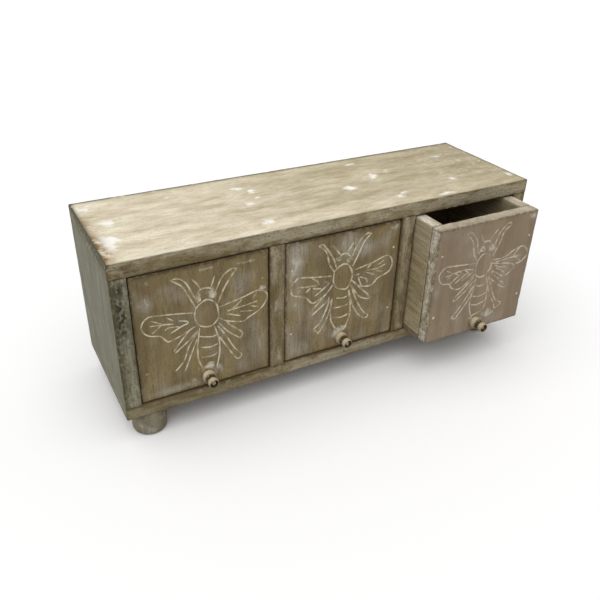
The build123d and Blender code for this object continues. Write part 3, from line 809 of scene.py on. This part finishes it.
def turnedMesh(profile, centre, out, steps):
    # profile points are (radius, way out along the axis, darkening), in mm, or with the darkening at the
    # upper left and the lower right of the turn given apart; the darkening is dirt and painted shade, and
    # where the two sides differ, painted shade
    across = Vector((0, 1, 0)) if out.x else Vector((1, 0, 0))
    upright = out.cross(across)
    points, faces, dirtAndShade, rings = [], [], [], []
    for radius, way, *dirtAndShadeSides in profile:
        pole = radius == 0
        rings.append([len(points) + (0 if pole else k) for k in range(steps)])
        for k in range(1 if pole else steps):
            turn = 2 * math.pi * k / steps
            spoke = math.cos(turn) * across + math.sin(turn) * upright
            points.append(centre + (out * way + spoke * radius) * mm)
            upperLeft = 0.5 + 0.5 * math.cos(turn - math.radians(135))
            dirtAndShade.append(dirtAndShadeSides[0] * upperLeft + dirtAndShadeSides[-1] * (1 - upperLeft))
    for inner, outer in zip(rings, rings[1:]):
        for k in range(steps):
            after = (k + 1) % steps
            face = [inner[k], inner[after], outer[after], outer[k]]
            faces.append(list(dict.fromkeys(face)))
    return points, faces, dirtAndShade


# a bulb, a groove and a bead hollowed for the screw; the groove and the hollow are darkened with dirt and
# painted shade, and the flanks are painted darker on the lower right as shade
knobSettings = {
    "steps": 48, "curveSteps": 3, "seed": 80,
    "foot": [(0, 0, 0.5, 0.5), (4.3, 0, 0.8, 0.8)],
    "profile": [(4.45, 0.3, 0.5, 0.8), (4.85, 1.3, 0.1, 0.5), (5.0, 2.6, 0.0, 0.35), (4.95, 3.9, 0.0, 0.4),
                (4.5, 4.9, 0.3, 0.6), (3.7, 5.7, 0.9, 1.0), (3.35, 6.6, 1.0, 1.0), (3.3, 7.8, 1.0, 1.0),
                (3.5, 8.7, 0.8, 1.0), (3.8, 9.5, 0.2, 0.6), (3.9, 10.4, 0.0, 0.4), (3.85, 11.6, 0.0, 0.4),
                (3.7, 12.5, 0.1, 0.5), (3.4, 13.0, 0.4, 0.6), (3.15, 12.6, 1.0, 0.9), (2.95, 11.8, 1.0, 1.0)],
    "seat": [(2.55, 10.2, 1.0, 1.0), (0, 10.2, 1.0, 1.0)],
}
footSettings = {
    "steps": 64, "seed": 90,
    "profile": [(0, 0, 0.1), (9.8, 0, 0.2), (11.2, 0.25, 0.35), (12.3, 1.1, 0.3), (12.8, 2.4, 0.15),
                (12.95, 4.5, 0.0), (13.0, 10, 0.0), (12.95, 16, 0.05), (12.85, 19.5, 0.3), (12.7, 20.5, 0.5),
                (0, 20.5, 0)],
}


def addTurned(node, body, wood, profile, base, out, grainAxis, steps, seed):
    points, faces, dirtAndShade = turnedMesh(profile, base, out, steps)
    piece = newPiece(node + "_turned", points, faces, [wood])
    writeGrain(piece, grainAxis, seed, {"stainAndShade": dirtAndShade})
    standFor(piece, node, body)


knobCurve = [tuple(p) for p in throughPoints(knobSettings["profile"], knobSettings["curveSteps"])]
knobProfile = knobSettings["foot"] + knobCurve + knobSettings["seat"]
for number, name in enumerate(drawerNames):
    body = name + "_drawer"
    low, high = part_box(body + "_knob")
    base = Vector(((low.x + high.x) / 2, high.y, (low.z + high.z) / 2))
    addTurned(body + "_knob", body, knobWood, knobProfile, base, Vector((0, -1, 0)), 1,
              knobSettings["steps"], knobSettings["seed"] + number)
    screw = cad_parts[body + "_knob_screw"]
    screw.data.materials.clear()
    screw.data.materials.append(screwSteel)

for number, node in enumerate(("front_left_foot", "front_right_foot", "back_left_foot", "back_right_foot")):
    low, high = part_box(node)
    base = Vector(((low.x + high.x) / 2, (low.y + high.y) / 2, low.z))
    addTurned(node, "carcass", footWood, footSettings["profile"], base, Vector((0, 0, 1)), 2,
              footSettings["steps"], footSettings["seed"] + number)
print("knobs and feet turned")

# shank and head are profiles as for a turned piece; the heads differ in size by up to a fifth
pinSettings = {
    "steps": 12, "sizes": (0.8, 1.2), "sameHead": 2.5 * mm, "sameEnd": 0.05 * mm,
    "shank": [(0, -4.0, 0), (0.65, -4.0, 0), (0.65, -0.4, 0)],
    "head": [(1.0, -0.3, 0), (1.0, 0.02, 0), (0.7, 0.07, 0), (0, 0.07, 0)],
    "stopping": {"left": brownStopping, "middle": chalkStopping, "right": chalkStopping},
}


def pinHeads(node, out):
    # middles of the pin ends that face the given way
    spots = [v.co.copy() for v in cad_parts[node].data.vertices]
    reach = max(spot.dot(out) for spot in spots)
    groups = []
    for spot in spots:
        if reach - spot.dot(out) < pinSettings["sameEnd"]:
            near = [g for g in groups if (g[0] - spot).length < pinSettings["sameHead"]]
            if near:
                near[0].append(spot)
            else:
                groups.append([spot])
    return [sum(g, Vector()) / len(g) for g in groups]


def addPins(node, body, looking, stopping):
    points, faces = [], []
    random.seed(node)
    for way in looking.split():
        out = Vector(lookingWays[way])
        for head in pinHeads(node, out):
            size = random.uniform(*pinSettings["sizes"])
            sized = [(radius * size, rise, dirtAndShade) for radius, rise, dirtAndShade in pinSettings["head"]]
            more, sides, _ = turnedMesh(pinSettings["shank"] + sized, head, out, pinSettings["steps"])
            faces += [[len(points) + k for k in side] for side in sides]
            points += more
    pins = newPiece(node + "_filled", points, faces, [stopping])
    standFor(pins, node, body)


for node, looking in (("top_pins", "up"), ("base_pins", "down"), ("back_panel_pins", "back"),
                      ("foot_pins", "up")):
    addPins(node, "carcass", looking, chalkStopping)
for name in drawerNames:
    body = name + "_drawer"
    for node, looking in (("_front_pins", "front"), ("_back_pins", "left right"), ("_bottom_pins", "down")):
        addPins(body + node, body, looking, pinSettings["stopping"][name])
print("pins driven and filled")


# Stage, light and camera

stageSettings = {
    "floorHalf": 6.0, "paperSeen": "#FFFFFF", "paperBounce": "#B4B2AE",
    "sky": 0.54, "sunStrength": 1.65, "sunAngle": 80, "sunFrom": (-0.3, -0.22, 1.0),
}


def eyeOrMirror(tree):
    # 1 for what the camera, a reflection or a clear piece shows, 0 for light that bounces
    path = addNode(tree, "LightPath").outputs
    seen = path["Is Camera Ray"]
    for ray in ("Is Glossy Ray", "Is Transmission Ray"):
        seen = addNode(tree, "Math", {}, {0: seen, 1: path[ray]}, operation="MAXIMUM").outputs[0]
    return seen


def studioPaper():
    # matt paper: white to the eye, mid grey to the light that bounces off it
    material, tree = newMaterial("studio_paper_matt")
    bounced, seen = linear(stageSettings["paperBounce"]), linear(stageSettings["paperSeen"])
    tone = addNode(tree, "Mix", {6: bounced, 7: seen}, {0: eyeOrMirror(tree)}, data_type="RGBA")
    shader = addNode(tree, "BsdfDiffuse", {}, {"Color": tone.outputs[2]})
    addNode(tree, "OutputMaterial", {}, {"Surface": shader.outputs[0]})
    return material


half = stageSettings["floorHalf"]
floor = newPiece("studio_floor", [(-half, -half, 0), (half, -half, 0), (half, half, 0), (-half, half, 0)],
                 [(0, 1, 2, 3)], [studioPaper()])

world = bpy.data.worlds.new("soft_studio")
bpy.context.scene.world = world
world.use_nodes = True
world.node_tree.nodes.clear()
glow = addNode(world.node_tree, "MapRange", {3: stageSettings["sky"], 4: 1.0},
               {0: eyeOrMirror(world.node_tree)})
sky = addNode(world.node_tree, "Background", {"Color": linear(stageSettings["paperSeen"])},
              {"Strength": glow.outputs[0]})
addNode(world.node_tree, "OutputWorld", {}, {"Surface": sky.outputs[0]})

sun = bpy.data.objects.new("overhead_softbox", bpy.data.lights.new("overhead_softbox", "SUN"))
sun.data.energy = stageSettings["sunStrength"]
sun.data.angle = math.radians(stageSettings["sunAngle"])
sun.rotation_mode = "QUATERNION"
sun.rotation_quaternion = Vector(stageSettings["sunFrom"]).to_track_quat("Z", "Y")
bpy.context.scene.collection.objects.link(sun)

# the photograph's viewpoint, fitted to the chest's straight edges: metres, degrees and a 36 mm wide sensor
cameraSettings = {"place": (-0.24395, -0.40637, 0.34190), "lens": 40.171, "sensor": 36,
                  "yaw": 28.872, "pitch": 31.034, "roll": 1.447}
yaw, pitch, roll = (math.radians(cameraSettings[key]) for key in ("yaw", "pitch", "roll"))
camera = bpy.data.objects.new("photo_camera", bpy.data.cameras.new("photo_camera"))
camera.data.lens = cameraSettings["lens"]
camera.data.sensor_width = cameraSettings["sensor"]
camera.matrix_world = (Matrix.Translation(cameraSettings["place"]) @ Matrix.Rotation(-yaw, 4, "Z")
                       @ Matrix.Rotation(math.pi / 2 - pitch, 4, "X") @ Matrix.Rotation(roll, 4, "Z"))
bpy.context.scene.collection.objects.link(camera)
bpy.context.scene.camera = camera
bpy.context.scene.view_settings.view_transform = "Standard"
print("stage, light and camera set")
